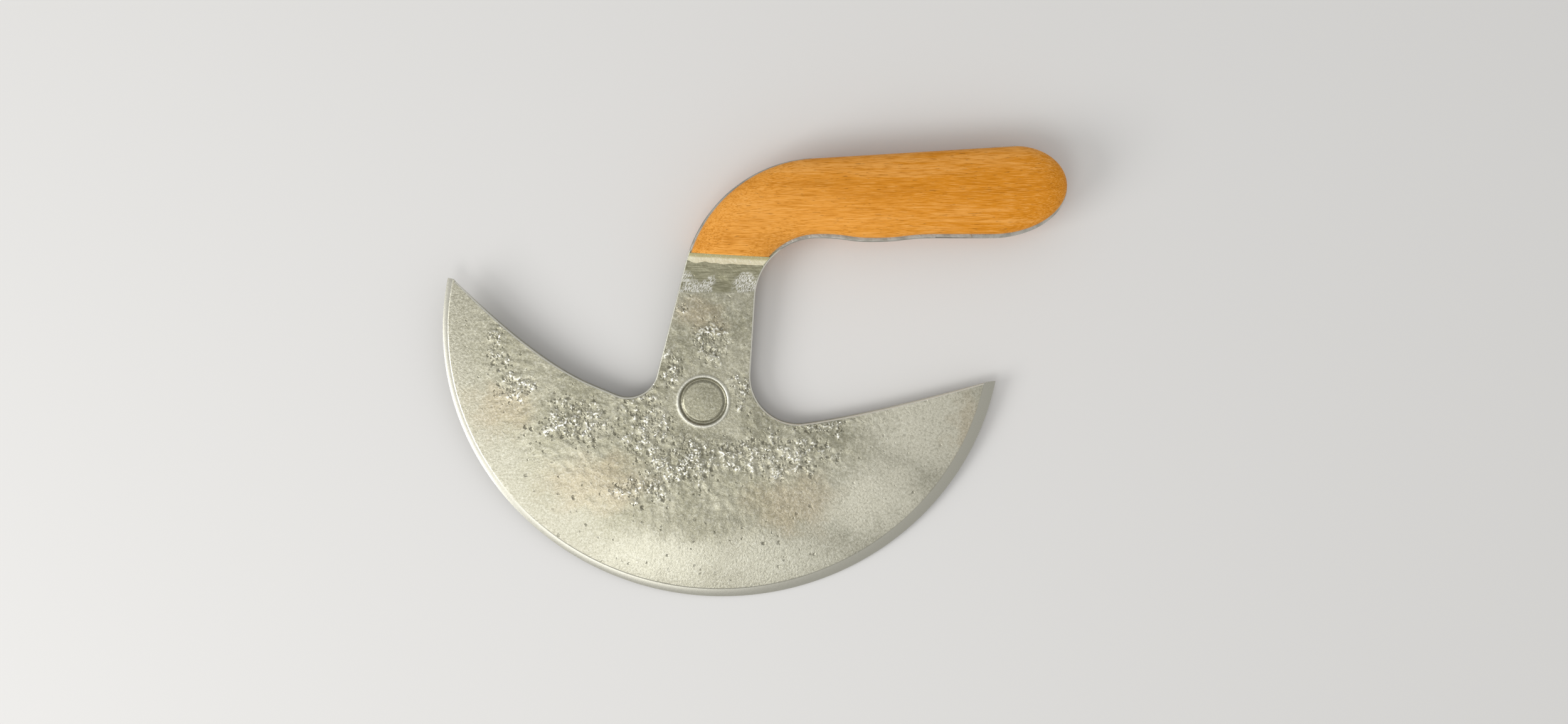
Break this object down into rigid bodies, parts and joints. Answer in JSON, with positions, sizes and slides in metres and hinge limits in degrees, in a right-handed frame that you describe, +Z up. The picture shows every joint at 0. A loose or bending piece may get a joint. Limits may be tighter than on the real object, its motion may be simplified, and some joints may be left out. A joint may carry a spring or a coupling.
{
  "type": "ulu knife",
  "caption": "Hand-forged ulu: crescent steel blade on an offset neck, with a full tang between wooden handle scales that sit over an open finger gap.",
  "frame": {"origin": "bottom centre of the bounding box, on the surface that the knife lies on", "axes": "+X runs along the handle towards its butt, +Y runs from the cutting edge to the back of the handle, +Z is up from the surface, towards the front of the knife"},
  "size_m": [0.196, 0.1428, 0.0213],
  "materials": {
    "forged_steel": "hammer-marked, with a satin ground edge zone",
    "oiled_wood": "satin oil over fine grain",
    "clear_resin": "clear, over the steel",
    "pin_steel": "drawn wire"
  },
  "bodies": {
    "root": {"forged_blade": "forged_steel", "front_scale": "oiled_wood", "back_scale": "oiled_wood", "front_glue_line": "clear_resin", "back_glue_line": "clear_resin", "hidden_pin_front": "pin_steel", "hidden_pin_middle": "pin_steel", "hidden_pin_rear": "pin_steel"}
  },
  "joints": []
}
